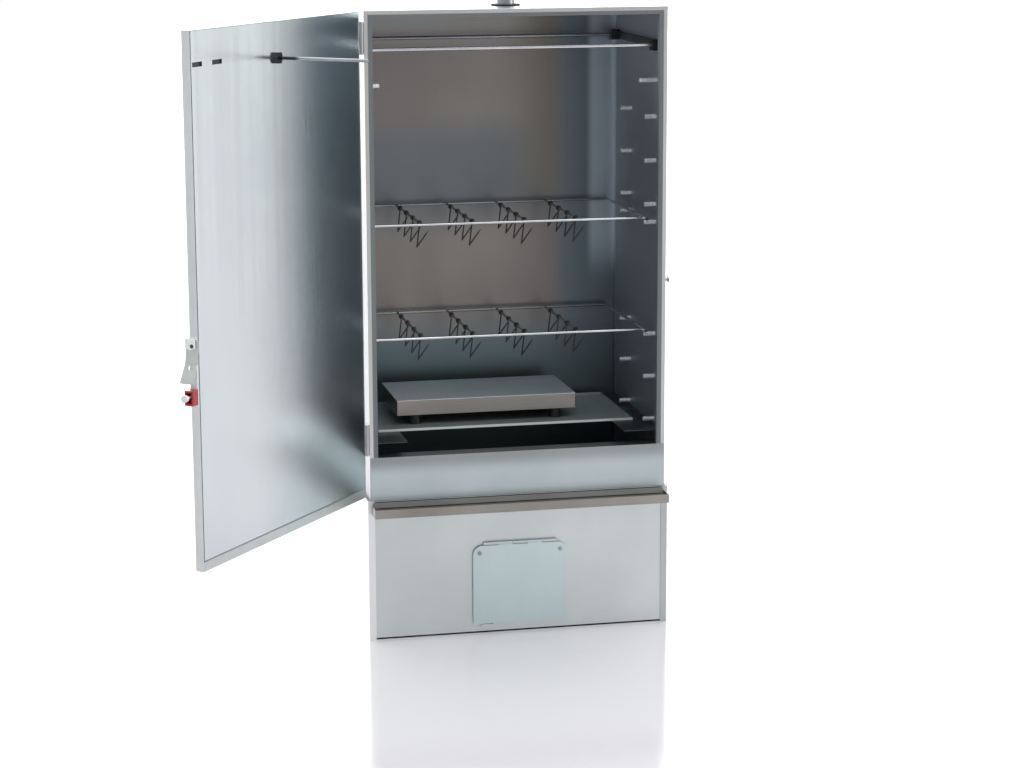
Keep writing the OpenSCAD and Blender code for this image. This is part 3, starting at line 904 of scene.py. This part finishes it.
def round_folds():
    """Small radii on the folds of the sheet pieces, so that their edges catch the light."""
    for width, names in FOLDS.items():
        for node in names:
            weld = nodes[node].modifiers.new("weld", "WELD")
            weld.merge_threshold = 0.02 * MM
            fold = bevel(nodes[node], "fold", width)
            fold.angle_limit = math.radians(50)
            fold.use_clamp_overlap = True
            for polygon in nodes[node].data.polygons:
                polygon.use_smooth = False


add_wall_rivets()
add_hinge_rivets()
add_screws()
add_thermostat_scale()
add_dial()
add_lever()
add_latch_cap()
add_slot_backing()
add_rack_welds()
add_tray_apron()
add_baffle_rim()
round_folds()


# ---------------------------------------------------------------- light and floor
def make_floor():
    """A plain, slightly glossy studio floor."""
    half = 14
    corners = [(-half, -half, 0), (half, -half, 0), (half, half, 0), (-half, half, 0)]
    mesh = bpy.data.meshes.new("floor")
    mesh.from_pydata(corners, [], [(0, 1, 2, 3)])
    floor = bpy.data.objects.new("floor", mesh)
    bpy.context.scene.collection.objects.link(floor)
    f = Finish("floor")
    grain = f.noise(40, detail=3.0)
    f.set("Base Color", f.mix(grain, (0.60, 0.595, 0.62, 1), (0.62, 0.615, 0.64, 1)))
    f.set("Roughness", f.span(grain, 0.3, 0.7, 0.10, 0.14))
    f.set("Specular IOR Level", 0.5)
    wear(floor, f.material)


def make_world():
    """White light from all round, dimmer from the front and brighter from behind.
    The camera itself sees plain white."""
    world = bpy.data.worlds.new("studio")
    bpy.context.scene.world = world
    world.use_nodes = True
    tree = world.node_tree
    shade = tree.nodes["Background"]
    coords = tree.nodes.new("ShaderNodeTexCoord")
    split = tree.nodes.new("ShaderNodeSeparateXYZ")
    tree.links.new(coords.outputs["Generated"], split.inputs[0])
    front = ramp(tree, split.outputs["Y"], -0.95, -0.35, 0.62, 1.0)
    behind = ramp(tree, split.outputs["Y"], 0.3, 0.9, 0.0, 2.0)
    total = tree.nodes.new("ShaderNodeMath")
    total.operation = "ADD"
    tree.links.new(front, total.inputs[0])
    tree.links.new(behind, total.inputs[1])
    seen = tree.nodes.new("ShaderNodeLightPath")
    # sockets 2 and 3 are the node's two numbers
    pick = tree.nodes.new("ShaderNodeMix")
    tree.links.new(seen.outputs["Is Camera Ray"], pick.inputs[0])
    tree.links.new(total.outputs[0], pick.inputs[2])
    pick.inputs[3].default_value = 1.0
    tree.links.new(pick.outputs[0], shade.inputs["Strength"])
    shade.inputs["Color"].default_value = (1, 1, 1, 1)


def soft_light(name, place, aim, size, power):
    """A rectangular lamp, in metres and watts."""
    data = bpy.data.lights.new(name, "AREA")
    data.shape = "RECTANGLE"
    data.size, data.size_y = size
    data.energy = power
    light = bpy.data.objects.new(name, data)
    bpy.context.scene.collection.objects.link(light)
    light.location = place
    light.rotation_euler = (Vector(aim) - Vector(place)).to_track_quat("-Z", "Y").to_euler()


make_floor()
make_world()
soft_light("top_light", place=(0.3, -0.6, 3.4), aim=(0, 0, 0.3), size=(3.0, 3.0), power=60)
soft_light("side_light", place=(3.2, -1.2, 1.6), aim=(0, 0, 0.4), size=(1.6, 2.6), power=35)
bpy.context.scene.view_settings.view_transform = "Standard"
